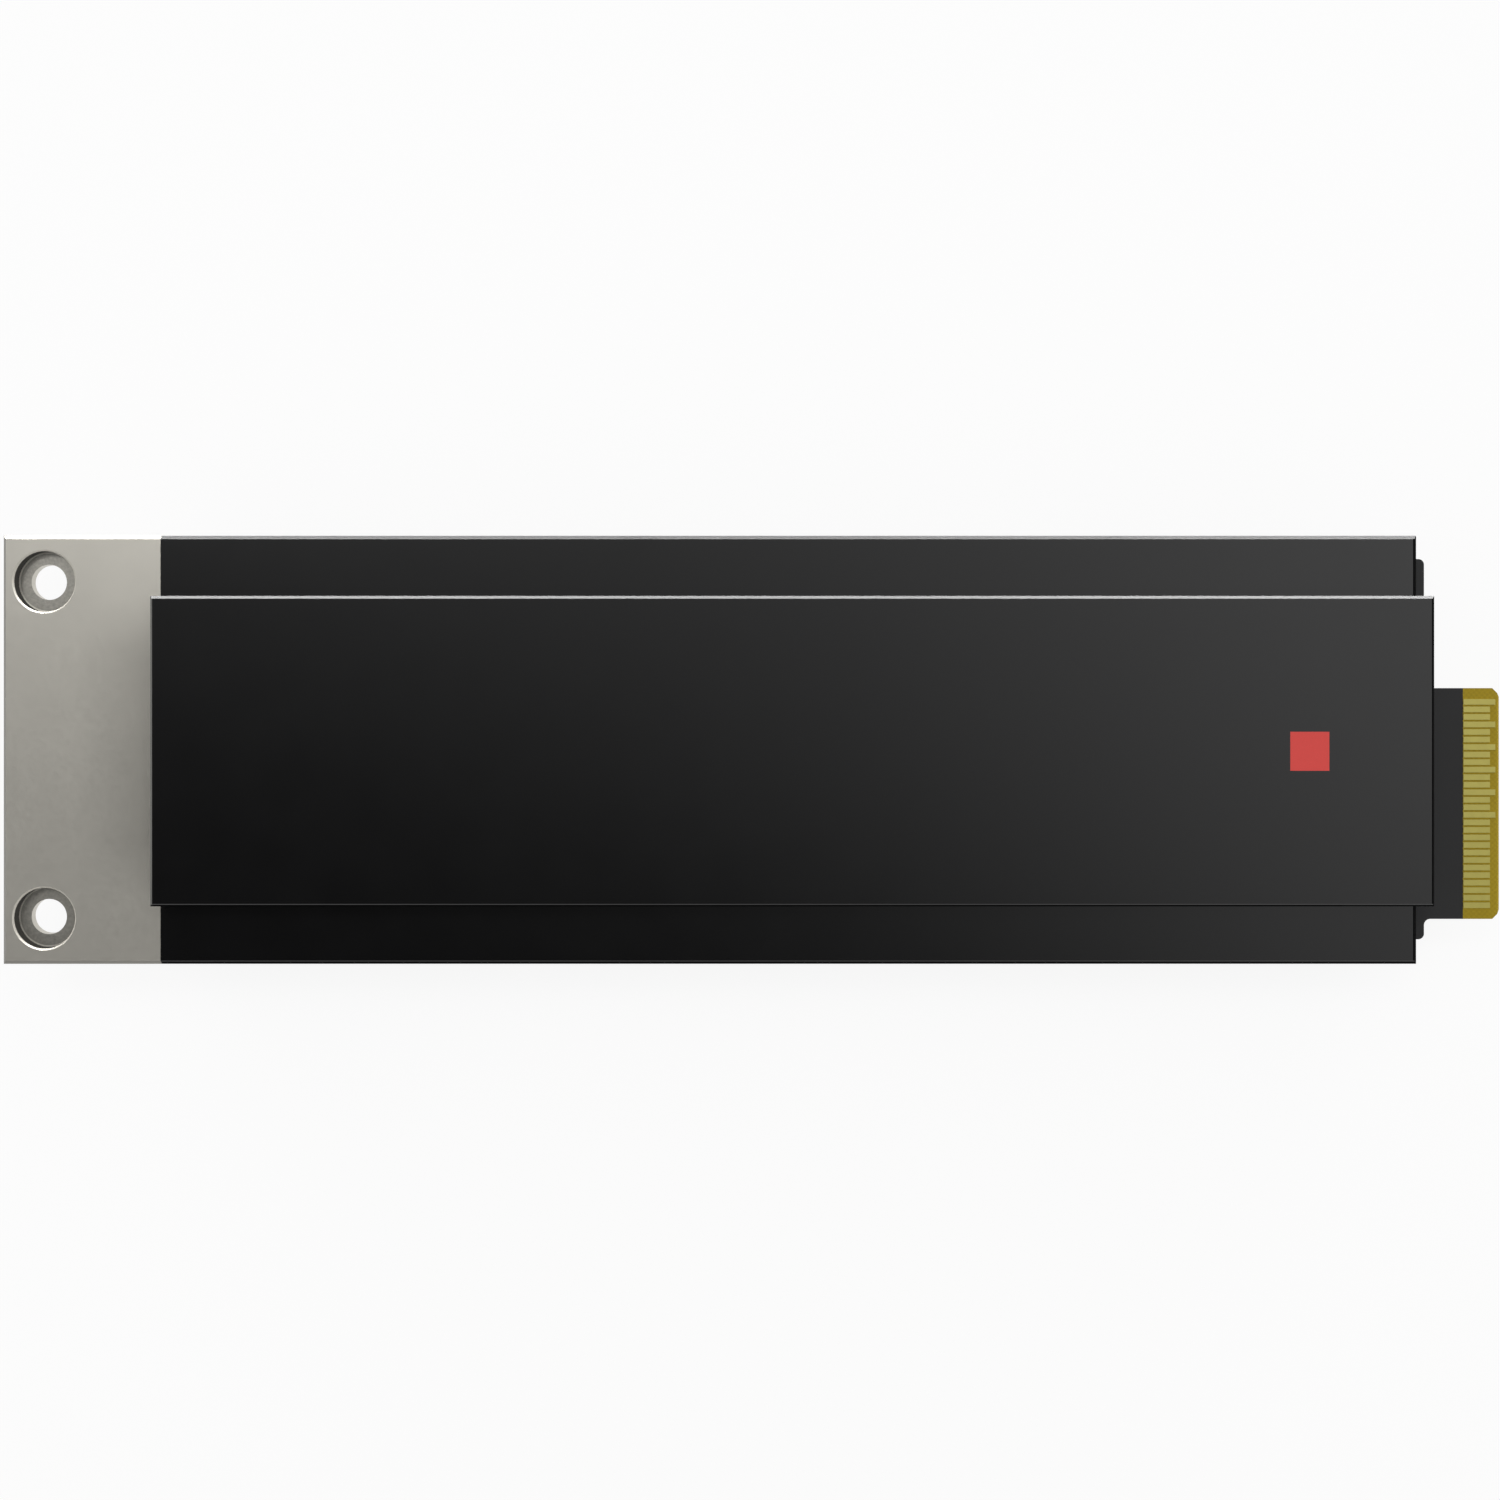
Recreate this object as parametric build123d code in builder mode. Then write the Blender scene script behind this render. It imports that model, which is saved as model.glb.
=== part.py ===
from build123d import *
import os

os.makedirs("parts", exist_ok=True)

# Lengths along X, from the bare mounting end on the left to the contact tab on the right
tongue_length = 12.5
case_length = 98.85
board_overhang = 1.26
tab_length = 6.14

# Section of the case: thin flanges at both sides and a raised middle on both faces
case_width = 33.75
flange_width = 4.925
flange_thickness = 4.5
raise_height = 2.5
flange_chamfer = 0.3
raise_chamfer = 0.22

# Walls of the two case halves
side_wall = 1.5
end_wall = 1.5
raise_wall = 1.2
flange_wall = 0.75

# Mounting end, with two counterbored holes for the screws of a latch
tongue_thickness = 1.65
latch_hole_inset = 3.3
latch_hole_margin = 3.625
latch_hole_radius = 1.4
latch_counterbore_radius = 2.4
latch_counterbore_depth = 0.94
latch_rim_chamfer = 0.12

# Circuit board, held at its edges between shelves in the two halves
board_thickness = 1.57
board_clearance = 0.225
shelf_width = 1.65
end_shelf_width = 1.0
board_corner_radius = 0.45

# Contact tab and its gold contacts, 0.6 mm apart
contacts_per_side = 28
contact_pitch = 0.6
contact_width = 0.45
contact_thickness = 0.05
contact_zone = 3.02
contact_setback = 0.91
long_contact_setback = 0.48
long_contact_step = 3
long_contact_count = 6
tab_margin = 1.095
tab_offset = -4.33
tab_corner_chamfer = 0.7
tab_root_radius = 0.5
tab_bevel = 0.3

# Plain square of colour let into the top face
mark_size = 3.0
mark_depth = 0.2
mark_inset = 9.675

# Countersunk screws, driven from the underside through the board into blind holes
screw_radius = 1.0
screw_head_radius = 1.9
screw_head_rim = 0.15
screw_recess = 0.05
screw_tip_cover = 1.45
screw_socket_radius = 0.75
screw_socket_depth = 0.7
screw_inset_x = 3.6
screw_inset_y = 2.9
screw_clearance = 0.15
head_clearance = 0.05
thread_clearance = 0.05
tip_clearance = 0.3
boss_radius = 2.2

# Large packages on the board, with a thermal pad between each of them and the case
nand_per_face = 2
nand_side_room = 1.75
nand_height = 1.4
dram_length = 7.5
dram_width = 13.3
dram_height = 1.2
controller_length = 15.0
controller_width = 15.0
controller_height = 1.35
pad_thickness = 0.6
pad_inset = 0.5
package_chamfer = 0.12
dot_radius = 0.4
dot_depth = 0.06
dot_inset = 1.2
block_gap = 2.2

# Capacitors that keep the module alive while it saves its data after a power loss
holdup_length = 7.3
holdup_height = 1.9
holdup_gap = 0.86
holdup_columns = 2
holdup_rows = 4
terminal_length = 1.3
terminal_step = 0.1

# Power supply and clock parts in two columns beside the controller
supply_column_gap = 0.9
inductor_size = 4.0
inductor_height = 1.9
inductor_count = 3
inductor_chamfer = 0.3
regulator_size = 5.0
regulator_height = 0.9
switch_size = 3.5
switch_height = 0.85
flash_length = 5.0
flash_width = 6.0
flash_height = 0.8
crystal_length = 3.2
crystal_width = 2.5
crystal_height = 0.7
crystal_lid_inset = 0.25
crystal_lid_height = 0.35

# Small chips of ceramic, in groups
ceramic_length = 1.6
ceramic_width = 0.8
ceramic_height = 0.8
ceramic_columns = 5
ceramic_rows = 4
resistor_length = 1.0
resistor_width = 0.5
resistor_height = 0.35
resistor_pitch = 6.5
coupling_count = 8
coupling_gap = 0.9

# Places along X, measured from the middle of the whole module
overall_length = tongue_length + case_length + board_overhang + tab_length
tongue_left = -overall_length / 2
case_left = tongue_left + tongue_length
case_right = case_left + case_length
case_middle = (case_left + case_right) / 2
board_left = case_left + end_wall + board_clearance
board_right = case_right + board_overhang
tab_right = board_right + tab_length
contact_left = tab_right - contact_zone
pocket_left = board_left + end_shelf_width
pocket_right = case_right - end_wall

# Heights, from the underside that the module lies on
flange_bottom = raise_height
flange_top = flange_bottom + flange_thickness
case_top = flange_top + raise_height
parting_height = flange_bottom + flange_thickness / 2
tongue_bottom = flange_top - tongue_thickness
board_bottom = parting_height - board_thickness / 2
board_top = parting_height + board_thickness / 2
ceiling = case_top - raise_wall
flange_ceiling = flange_top - flange_wall

# Widths that follow from the section
raise_width = case_width - 2 * flange_width
latch_hole_spacing = case_width - 2 * latch_hole_margin
board_width = case_width - 2 * (side_wall + board_clearance)
recess_width = board_width + 2 * board_clearance
shallow_width = board_width - 2 * shelf_width
deep_width = raise_width - 2 * raise_wall
tab_width = (contacts_per_side - 1) * contact_pitch + 2 * tab_margin
nand_width = deep_width - 2 * nand_side_room
screw_spacing_x = case_length - 2 * screw_inset_x
screw_spacing_y = raise_width - 2 * screw_inset_y

# Planes that the sketches and holes stand on
parting_plane = Plane.XY.offset(parting_height)
board_face_up = Plane.XY.offset(board_top)
board_face_down = Plane(origin=(0, 0, board_bottom), x_dir=(1, 0, 0), z_dir=(0, 0, -1))
underside = Plane(origin=(case_middle, 0, 0), x_dir=(1, 0, 0), z_dir=(0, 0, -1))
boss_face = Plane(origin=(case_middle, 0, board_top), x_dir=(1, 0, 0), z_dir=(0, 0, -1))

# The hold-up capacitors fill the width, and their bank is as long as its columns need
holdup_pitch_x = holdup_length + holdup_gap
holdup_pitch_y = (deep_width - holdup_gap) / holdup_rows
holdup_width = holdup_pitch_y - holdup_gap
holdup_bank_length = holdup_columns * holdup_pitch_x - holdup_gap
supply_length = regulator_size + supply_column_gap + inductor_size

# Blocks of parts stand in a row between the screw bosses. The flash memory takes what is left.
other_lengths = [dram_length, controller_length, supply_length]
block_count = 1 + nand_per_face + len(other_lengths)
block_room = screw_spacing_x - 2 * boss_radius - (block_count + 1) * block_gap
nand_length = (block_room - holdup_bank_length - sum(other_lengths)) / nand_per_face
block_lengths = [holdup_bank_length] + nand_per_face * [nand_length] + other_lengths
block_centres = []
block_start = case_left + screw_inset_x + boss_radius + block_gap
for block_length in block_lengths:
    block_centres.append(block_start + block_length / 2)
    block_start += block_length + block_gap
holdup_x = block_centres[0]
nand_centres = block_centres[1 : 1 + nand_per_face]
dram_x, controller_x, supply_x = block_centres[1 + nand_per_face :]

# Each seat is a package that the case touches: centre X, length, width and height
nand_seats = [(nand_x, nand_length, nand_width, nand_height) for nand_x in nand_centres]
dram_seat = (dram_x, dram_length, dram_width, dram_height)
controller_seat = (controller_x, controller_length, controller_width, controller_height)
upper_seats = nand_seats + [dram_seat, controller_seat]
lower_seats = nand_seats + [dram_seat]


# One hollow half of the case, made as the upper one. A tongue is added where one is asked for.
def case_half(seats, tongue):
    with BuildPart() as half:
        with BuildSketch(parting_plane):
            with Locations((case_middle, 0)):
                Rectangle(case_length, case_width)
        extrude(amount=flange_top - parting_height)
        with BuildSketch(Plane.XY.offset(flange_top)):
            with Locations((case_middle, 0)):
                Rectangle(case_length, raise_width)
        extrude(amount=raise_height)
        if tongue:
            with BuildSketch(Plane.XY.offset(tongue_bottom)):
                with Locations((tongue_left + tongue_length / 2, 0)):
                    Rectangle(tongue_length, case_width)
            extrude(amount=tongue_thickness)

        # Small chamfers run round the flanges and round the raised face
        flange_faces = half.faces().filter_by(Axis.Z).group_by(Axis.Z)[-2]
        beside_raise = raise_width / 2 + flange_chamfer
        rim = flange_faces.edges().filter_by(
            lambda edge: abs(edge.center().Y) > beside_raise or edge.center().X < case_left
        )
        chamfer(rim, flange_chamfer)
        chamfer(half.faces().sort_by(Axis.Z)[-1].edges(), raise_chamfer)

        # Recess for half of the board's thickness, open at the contact end
        with BuildSketch(parting_plane):
            with Locations((board_left - board_clearance, 0)):
                Rectangle(
                    case_right - board_left + board_clearance,
                    recess_width,
                    align=(Align.MIN, Align.CENTER),
                )
        extrude(amount=board_thickness / 2, mode=Mode.SUBTRACT)

        # Shallow room over the flanges and deep room under the raised middle
        with BuildSketch(board_face_up):
            with Locations((pocket_left, 0)):
                Rectangle(pocket_right - pocket_left, shallow_width, align=(Align.MIN, Align.CENTER))
        extrude(amount=flange_ceiling - board_top, mode=Mode.SUBTRACT)
        with BuildSketch(board_face_up):
            with Locations((pocket_left, 0)):
                Rectangle(pocket_right - pocket_left, deep_width, align=(Align.MIN, Align.CENTER))
        extrude(amount=ceiling - board_top, mode=Mode.SUBTRACT)

        # Bosses round the screws reach the board
        with BuildSketch(board_face_up):
            with Locations((case_middle, 0)):
                with GridLocations(screw_spacing_x, screw_spacing_y, 2, 2):
                    Circle(boss_radius)
        extrude(amount=ceiling - board_top)

        # A low pedestal comes down to the thermal pad of each large package
        for seat_x, seat_length, seat_width, seat_height in seats:
            pad_top = board_top + seat_height + pad_thickness
            with BuildSketch(Plane.XY.offset(pad_top)):
                with Locations((seat_x, 0)):
                    Rectangle(seat_length, seat_width)
            extrude(amount=ceiling - pad_top)
    return half.part


upper_half = case_half(upper_seats, True)
lower_half = case_half(lower_seats, False)

# Upper half, cast in one piece with the bare mounting tongue
with BuildPart() as upper_case:
    add(upper_half)
    with Locations((tongue_left + latch_hole_inset, 0, flange_top)):
        with GridLocations(0, latch_hole_spacing, 1, 2):
            CounterBoreHole(latch_hole_radius, latch_counterbore_radius, latch_counterbore_depth)
    tongue_rings = upper_case.edges().filter_by(
        lambda edge: edge.geom_type == GeomType.CIRCLE and edge.center().X < case_left
    )
    chamfer(tongue_rings.group_by(Axis.Z)[-1], latch_rim_chamfer)
    with Locations(boss_face):
        with GridLocations(screw_spacing_x, screw_spacing_y, 2, 2):
            Hole(
                screw_radius + thread_clearance,
                depth=case_top - screw_tip_cover + tip_clearance - board_top,
            )
    with BuildSketch(Plane.XY.offset(case_top)):
        with Locations((case_right - mark_inset, 0)):
            Rectangle(mark_size, mark_size)
    extrude(amount=-mark_depth, mode=Mode.SUBTRACT)
upper_case.part.label = "upper_case"
export_step(upper_case.part, "parts/upper_case.step")

# Lower half, the same form turned over, with the countersinks of the screws
with BuildPart() as lower_case:
    mirror(objects=lower_half, about=parting_plane)
    with Locations(underside):
        with GridLocations(screw_spacing_x, screw_spacing_y, 2, 2):
            CounterSinkHole(
                screw_radius + screw_clearance,
                screw_head_radius + screw_recess + screw_head_rim + head_clearance,
                counter_sink_angle=90,
            )
lower_case.part.label = "lower_case"
export_step(lower_case.part, "parts/lower_case.step")

# Square of colour, level with the top face
with BuildPart() as colour_mark:
    with BuildSketch(Plane.XY.offset(case_top - mark_depth)):
        with Locations((case_right - mark_inset, 0)):
            Rectangle(mark_size, mark_size)
    extrude(amount=mark_depth)
colour_mark.part.label = "colour_mark"
export_step(colour_mark.part, "parts/colour_mark.step")

# Circuit board, with its contact tab set to one side
with BuildPart() as main_board:
    with BuildSketch(Plane.XY.offset(board_bottom)) as board_outline:
        with Locations((board_left, 0)):
            Rectangle(board_right - board_left, board_width, align=(Align.MIN, Align.CENTER))
        fillet(board_outline.vertices().group_by(Axis.X)[-1], board_corner_radius)
        with Locations((board_right, tab_offset)):
            Rectangle(tab_length, tab_width, align=(Align.MIN, Align.CENTER))
        chamfer(board_outline.vertices().group_by(Axis.X)[-1], tab_corner_chamfer)
        tab_roots = [
            vertex
            for vertex in board_outline.vertices()
            if abs(vertex.X - board_right) < board_corner_radius / 2
            and abs(abs(vertex.Y - tab_offset) - tab_width / 2) < tab_root_radius / 2
        ]
        fillet(tab_roots, tab_root_radius)
    extrude(amount=board_thickness)
    tab_end = main_board.faces().sort_by(Axis.X)[-1]
    chamfer(tab_end.edges().filter_by(Axis.Y), tab_bevel)
    with Locations((case_middle, 0, board_top)):
        with GridLocations(screw_spacing_x, screw_spacing_y, 2, 2):
            Hole(screw_radius + screw_clearance)
main_board.part.label = "main_board"
export_step(main_board.part, "parts/main_board.step")

# Gold contacts on the tab. Every third one at the wide-board end reaches further out.
with BuildPart() as edge_contacts_top:
    with BuildSketch(board_face_up):
        for index in range(contacts_per_side):
            is_long = index % long_contact_step == 0 and index < long_contact_step * long_contact_count
            setback = long_contact_setback if is_long else contact_setback
            contact_y = tab_offset + tab_width / 2 - tab_margin - index * contact_pitch
            with Locations((contact_left, contact_y)):
                Rectangle(contact_zone - setback, contact_width, align=(Align.MIN, Align.CENTER))
    extrude(amount=contact_thickness)
edge_contacts_top.part.label = "edge_contacts_top"
export_step(edge_contacts_top.part, "parts/edge_contacts_top.step")

with BuildPart() as edge_contacts_bottom:
    mirror(objects=edge_contacts_top.part, about=parting_plane)
edge_contacts_bottom.part.label = "edge_contacts_bottom"
export_step(edge_contacts_bottom.part, "parts/edge_contacts_bottom.step")

# One countersunk screw with a hexagon socket, standing on its head
screw_top = case_top - screw_tip_cover
head_depth = screw_head_radius - screw_radius + screw_head_rim
with BuildPart() as one_screw:
    with BuildSketch(Plane.XZ):
        with BuildLine():
            Polyline(
                (0, screw_recess),
                (screw_head_radius, screw_recess),
                (screw_head_radius, screw_recess + screw_head_rim),
                (screw_radius, screw_recess + head_depth),
                (screw_radius, screw_top),
                (0, screw_top),
                close=True,
            )
        make_face()
    revolve(axis=Axis.Z)
    with BuildSketch(Plane.XY.offset(screw_recess)):
        RegularPolygon(screw_socket_radius, 6)
    extrude(amount=screw_socket_depth, mode=Mode.SUBTRACT)

with BuildPart() as case_screws:
    with Locations((case_middle, 0)):
        with GridLocations(screw_spacing_x, screw_spacing_y, 2, 2):
            add(one_screw.part)
case_screws.part.label = "case_screws"
export_step(case_screws.part, "parts/case_screws.step")


# A flat moulded package on one face of the board, with a round dimple near its first pin
def moulded_package(board_face, centre, length, width, height):
    with BuildPart() as package:
        with BuildSketch(board_face):
            with Locations(centre):
                Rectangle(length, width)
        extrude(amount=height)
        outer_face = package.faces().filter_by(lambda face: face.normal_at().dot(board_face.z_dir) > 0.5)
        chamfer(outer_face.edges(), package_chamfer)
        with BuildSketch(board_face.offset(height)):
            with Locations((centre[0] - length / 2 + dot_inset, centre[1] + width / 2 - dot_inset)):
                Circle(dot_radius)
        extrude(amount=-dot_depth, mode=Mode.SUBTRACT)
    return package.part


# A soft thermal pad between a package and the pedestal of the case
def thermal_pad(board_face, centre, length, width, height):
    with BuildPart() as pad:
        with BuildSketch(board_face.offset(height)):
            with Locations(centre):
                Rectangle(length - 2 * pad_inset, width - 2 * pad_inset)
        extrude(amount=pad_thickness)
    return pad.part


# Flash memory: two packages and their pads on each face of the board
for face_index, board_face in enumerate([board_face_up, board_face_down]):
    for seat_index, nand_x in enumerate(nand_centres):
        number = face_index * nand_per_face + seat_index + 1
        flash_package = moulded_package(board_face, (nand_x, 0), nand_length, nand_width, nand_height)
        flash_package.label = f"nand_flash_{number}"
        export_step(flash_package, f"parts/nand_flash_{number}.step")
        flash_pad = thermal_pad(board_face, (nand_x, 0), nand_length, nand_width, nand_height)
        flash_pad.label = f"nand_thermal_pad_{number}"
        export_step(flash_pad, f"parts/nand_thermal_pad_{number}.step")

# Working memory: one package and its pad on each face of the board
for number, board_face in enumerate([board_face_up, board_face_down], start=1):
    dram_package = moulded_package(board_face, (dram_x, 0), dram_length, dram_width, dram_height)
    dram_package.label = f"dram_{number}"
    export_step(dram_package, f"parts/dram_{number}.step")
    dram_pad = thermal_pad(board_face, (dram_x, 0), dram_length, dram_width, dram_height)
    dram_pad.label = f"dram_thermal_pad_{number}"
    export_step(dram_pad, f"parts/dram_thermal_pad_{number}.step")

# Controller on the upper face
controller = moulded_package(
    board_face_up, (controller_x, 0), controller_length, controller_width, controller_height
)
controller.label = "controller"
export_step(controller, "parts/controller.step")

controller_thermal_pad = thermal_pad(
    board_face_up, (controller_x, 0), controller_length, controller_width, controller_height
)
controller_thermal_pad.label = "controller_thermal_pad"
export_step(controller_thermal_pad, "parts/controller_thermal_pad.step")

# Hold-up capacitors: moulded bodies that stand a little proud of their metal ends
for number in range(1, holdup_columns * holdup_rows + 1):
    column, row = divmod(number - 1, holdup_rows)
    holdup_centre = (
        holdup_x + (column - (holdup_columns - 1) / 2) * holdup_pitch_x,
        (row - (holdup_rows - 1) / 2) * holdup_pitch_y,
    )
    with BuildPart() as holdup_capacitor:
        with BuildSketch(board_face_up):
            with Locations(holdup_centre):
                Rectangle(holdup_length, holdup_width - 2 * terminal_step)
        extrude(amount=holdup_height - terminal_step)
        with BuildSketch(board_face_up.offset(terminal_step)):
            with Locations(holdup_centre):
                Rectangle(holdup_length - 2 * terminal_length, holdup_width)
        extrude(amount=holdup_height - terminal_step)
    holdup_capacitor.part.label = f"holdup_capacitor_{number}"
    export_step(holdup_capacitor.part, f"parts/holdup_capacitor_{number}.step")

# Power supply: a column of inductors and the input switch, spread over the width
inductor_x = supply_x + (supply_length - inductor_size) / 2
inductor_gap = (deep_width - inductor_count * inductor_size - switch_size) / (inductor_count + 2)
for number in range(1, inductor_count + 1):
    inductor_y = deep_width / 2 - number * (inductor_gap + inductor_size) + inductor_size / 2
    with BuildPart() as inductor:
        with BuildSketch(board_face_up):
            with Locations((inductor_x, inductor_y)):
                Rectangle(inductor_size, inductor_size)
        extrude(amount=inductor_height)
        chamfer(inductor.faces().sort_by(Axis.Z)[-1].edges(), inductor_chamfer)
    inductor.part.label = f"inductor_{number}"
    export_step(inductor.part, f"parts/inductor_{number}.step")

switch_y = -deep_width / 2 + inductor_gap + switch_size / 2
input_switch = moulded_package(
    board_face_up, (inductor_x, switch_y), switch_size, switch_size, switch_height
)
input_switch.label = "input_switch"
export_step(input_switch, "parts/input_switch.step")

# The regulator, the crystal and the serial memory are spread over the width in the next column
chip_x = supply_x - (supply_length - regulator_size) / 2
chip_widths = [regulator_size, crystal_width, flash_width]
chip_gap = (deep_width - sum(chip_widths)) / (len(chip_widths) + 1)
regulator_y = deep_width / 2 - chip_gap - regulator_size / 2
power_regulator = moulded_package(
    board_face_up, (chip_x, regulator_y), regulator_size, regulator_size, regulator_height
)
power_regulator.label = "power_regulator"
export_step(power_regulator, "parts/power_regulator.step")

# Clock crystal: a ceramic base with a metal lid
crystal_y = regulator_y - regulator_size / 2 - chip_gap - crystal_width / 2
with BuildPart() as clock_crystal:
    with BuildSketch(board_face_up):
        with Locations((chip_x, crystal_y)):
            Rectangle(crystal_length, crystal_width)
    extrude(amount=crystal_height - crystal_lid_height)
    with BuildSketch(board_face_up.offset(crystal_height - crystal_lid_height)):
        with Locations((chip_x, crystal_y)):
            Rectangle(crystal_length - 2 * crystal_lid_inset, crystal_width - 2 * crystal_lid_inset)
    extrude(amount=crystal_lid_height)
clock_crystal.part.label = "clock_crystal"
export_step(clock_crystal.part, "parts/clock_crystal.step")

# Small serial memory that holds the start-up code
flash_y = crystal_y - crystal_width / 2 - chip_gap - flash_width / 2
serial_flash = moulded_package(
    board_face_up, (chip_x, flash_y), flash_length, flash_width, flash_height
)
serial_flash.label = "serial_flash"
export_step(serial_flash, "parts/serial_flash.step")

# Decoupling capacitors in a grid behind the controller, on the lower face
ceramic_pitch_x = controller_length / ceramic_columns
ceramic_pitch_y = controller_width / ceramic_rows
with BuildPart() as decoupling_capacitors:
    with BuildSketch(board_face_down):
        with Locations((controller_x, 0)):
            with GridLocations(ceramic_pitch_x, ceramic_pitch_y, ceramic_columns, ceramic_rows):
                Rectangle(ceramic_length, ceramic_width)
    extrude(amount=ceramic_height)
decoupling_capacitors.part.label = "decoupling_capacitors"
export_step(decoupling_capacitors.part, "parts/decoupling_capacitors.step")

# Coupling capacitors of the data lanes, in a row just inside the contact end
coupling_x = pocket_right - coupling_gap - resistor_length / 2
coupling_pitch = (screw_spacing_y - 2 * boss_radius) / (coupling_count + 1)
with BuildPart() as coupling_capacitors:
    with BuildSketch(board_face_up):
        with Locations((coupling_x, 0)):
            with GridLocations(0, coupling_pitch, 1, coupling_count):
                Rectangle(resistor_length, resistor_width)
    extrude(amount=resistor_height)
coupling_capacitors.part.label = "coupling_capacitors"
export_step(coupling_capacitors.part, "parts/coupling_capacitors.step")

# Resistors along both edges of the board, in the shallow room under the flanges
resistor_y = (shallow_width + deep_width) / 4
resistor_count = int((pocket_right - pocket_left) // resistor_pitch)
with BuildPart() as edge_resistors:
    with BuildSketch(board_face_up):
        with Locations(((pocket_left + pocket_right) / 2, 0)):
            with GridLocations(resistor_pitch, 2 * resistor_y, resistor_count, 2):
                Rectangle(resistor_length, resistor_width)
    extrude(amount=resistor_height)
edge_resistors.part.label = "edge_resistors"
export_step(edge_resistors.part, "parts/edge_resistors.step")
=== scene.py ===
import math

import bpy
import numpy as np
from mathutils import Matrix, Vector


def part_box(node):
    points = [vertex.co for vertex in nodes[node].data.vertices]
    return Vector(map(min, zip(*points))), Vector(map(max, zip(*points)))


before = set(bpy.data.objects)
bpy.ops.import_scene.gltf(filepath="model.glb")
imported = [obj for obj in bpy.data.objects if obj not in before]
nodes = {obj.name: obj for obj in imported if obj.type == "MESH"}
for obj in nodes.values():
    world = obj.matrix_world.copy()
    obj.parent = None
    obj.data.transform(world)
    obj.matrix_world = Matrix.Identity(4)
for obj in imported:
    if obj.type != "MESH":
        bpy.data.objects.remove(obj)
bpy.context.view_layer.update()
mm = 0.001


# A shader node with its settings, and its inputs given as values or as sockets to link
def addNode(tree, kind, inputs=None, **settings):
    made = tree.nodes.new(kind)
    for key, value in settings.items():
        setattr(made, key, value)
    for key, value in (inputs or {}).items():
        if isinstance(value, bpy.types.NodeSocket):
            tree.links.new(value, made.inputs[key])
        else:
            made.inputs[key].default_value = value
    return made


def calc(tree, operation, first, second=0.0, clamp=False):
    inputs = {0: first, 1: second}
    return addNode(tree, "ShaderNodeMath", inputs, operation=operation, use_clamp=clamp).outputs[0]


def add(tree, first, second):
    return calc(tree, "ADD", first, second)


def subtract(tree, first, second):
    return calc(tree, "SUBTRACT", first, second)


def multiply(tree, first, second):
    return calc(tree, "MULTIPLY", first, second)


def absolute(tree, value):
    return calc(tree, "ABSOLUTE", value)


# A mask is 1 where it holds and 0 elsewhere, so two masks multiplied hold where both do
def above(tree, value, limit):
    return calc(tree, "GREATER_THAN", value, limit)


def below(tree, value, limit):
    return calc(tree, "LESS_THAN", value, limit)


def outside(tree, mask):
    return subtract(tree, 1.0, mask)


# How far a point is from an axis, by the root of the two squares
def radiusAbout(tree, alongX, alongY):
    squares = add(tree, calc(tree, "POWER", alongX, 2.0), calc(tree, "POWER", alongY, 2.0))
    return calc(tree, "SQRT", squares)


def blendColours(tree, factor, first, second):
    inputs = {"Factor": factor, "A": first, "B": second}
    return addNode(tree, "ShaderNodeMix", inputs, data_type="RGBA").outputs["Result"]


def blendNumbers(tree, factor, first, second):
    return addNode(tree, "ShaderNodeMix", {"Factor": factor, "A": first, "B": second}).outputs["Result"]


# From low at the start to high at the end, along a smooth or a straight line
def ramp(tree, value, start, end, low=0.0, high=1.0, line="SMOOTHSTEP"):
    inputs = {0: value, 1: start, 2: end, 3: low, 4: high}
    return addNode(tree, "ShaderNodeMapRange", inputs, interpolation_type=line).outputs[0]


def scaleVector(tree, vector, factor):
    return addNode(tree, "ShaderNodeVectorMath", {0: vector, "Scale": factor}, operation="SCALE").outputs[0]


def alongDirection(tree, vector, direction):
    made = addNode(tree, "ShaderNodeVectorMath", {0: vector, 1: direction}, operation="DOT_PRODUCT")
    return made.outputs["Value"]


def splitVector(tree, vector):
    return addNode(tree, "ShaderNodeSeparateXYZ", {0: vector}).outputs


# Object coordinates in millimetres
def placeInMillimetres(tree):
    coordinates = addNode(tree, "ShaderNodeTexCoord")
    return scaleVector(tree, coordinates.outputs["Object"], 1 / mm)


# Noise about zero, from -0.5 to 0.5
def grain(tree, place, scale, detail, roughness=0.5):
    inputs = {"Vector": place, "Scale": scale, "Detail": detail, "Roughness": roughness}
    return subtract(tree, addNode(tree, "ShaderNodeTexNoise", inputs).outputs[0], 0.5)


# The first number with a share of the second added
def addShare(tree, first, second, share):
    return add(tree, first, multiply(tree, second, share))


# A colour that the noise carries from a darker to a lighter shade of itself
def mottle(tree, colour, noise, darker, lighter):
    shades = [[part * share for part in colour[:3]] + [1] for share in (darker, lighter)]
    return blendColours(tree, add(tree, 0.5, noise), *shades)


def bump(tree, height, strength, depth):
    inputs = {"Height": height, "Strength": strength, "Distance": depth * mm}
    return addNode(tree, "ShaderNodeBump", inputs).outputs[0]


def newMaterial(name):
    material = bpy.data.materials.new(name)
    material.use_nodes = True
    tree = material.node_tree
    return material, tree, tree.nodes["Principled BSDF"]


def setSurface(shader, **values):
    for key, value in values.items():
        shader.inputs[key.replace("_", " ")].default_value = value


def feedSurface(tree, shader, **sockets):
    for key, socket in sockets.items():
        tree.links.new(socket, shader.inputs[key.replace("_", " ")])


def dress(material, *names):
    for name in names:
        mesh = nodes[name].data
        mesh.materials.clear()
        mesh.materials.append(material)


# In the looks below lengths are in millimetres. Noise is given by its scale, its detail and at times
# its roughness, a colour's shares by its darker and its lighter shade, and a bump by strength and depth

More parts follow.
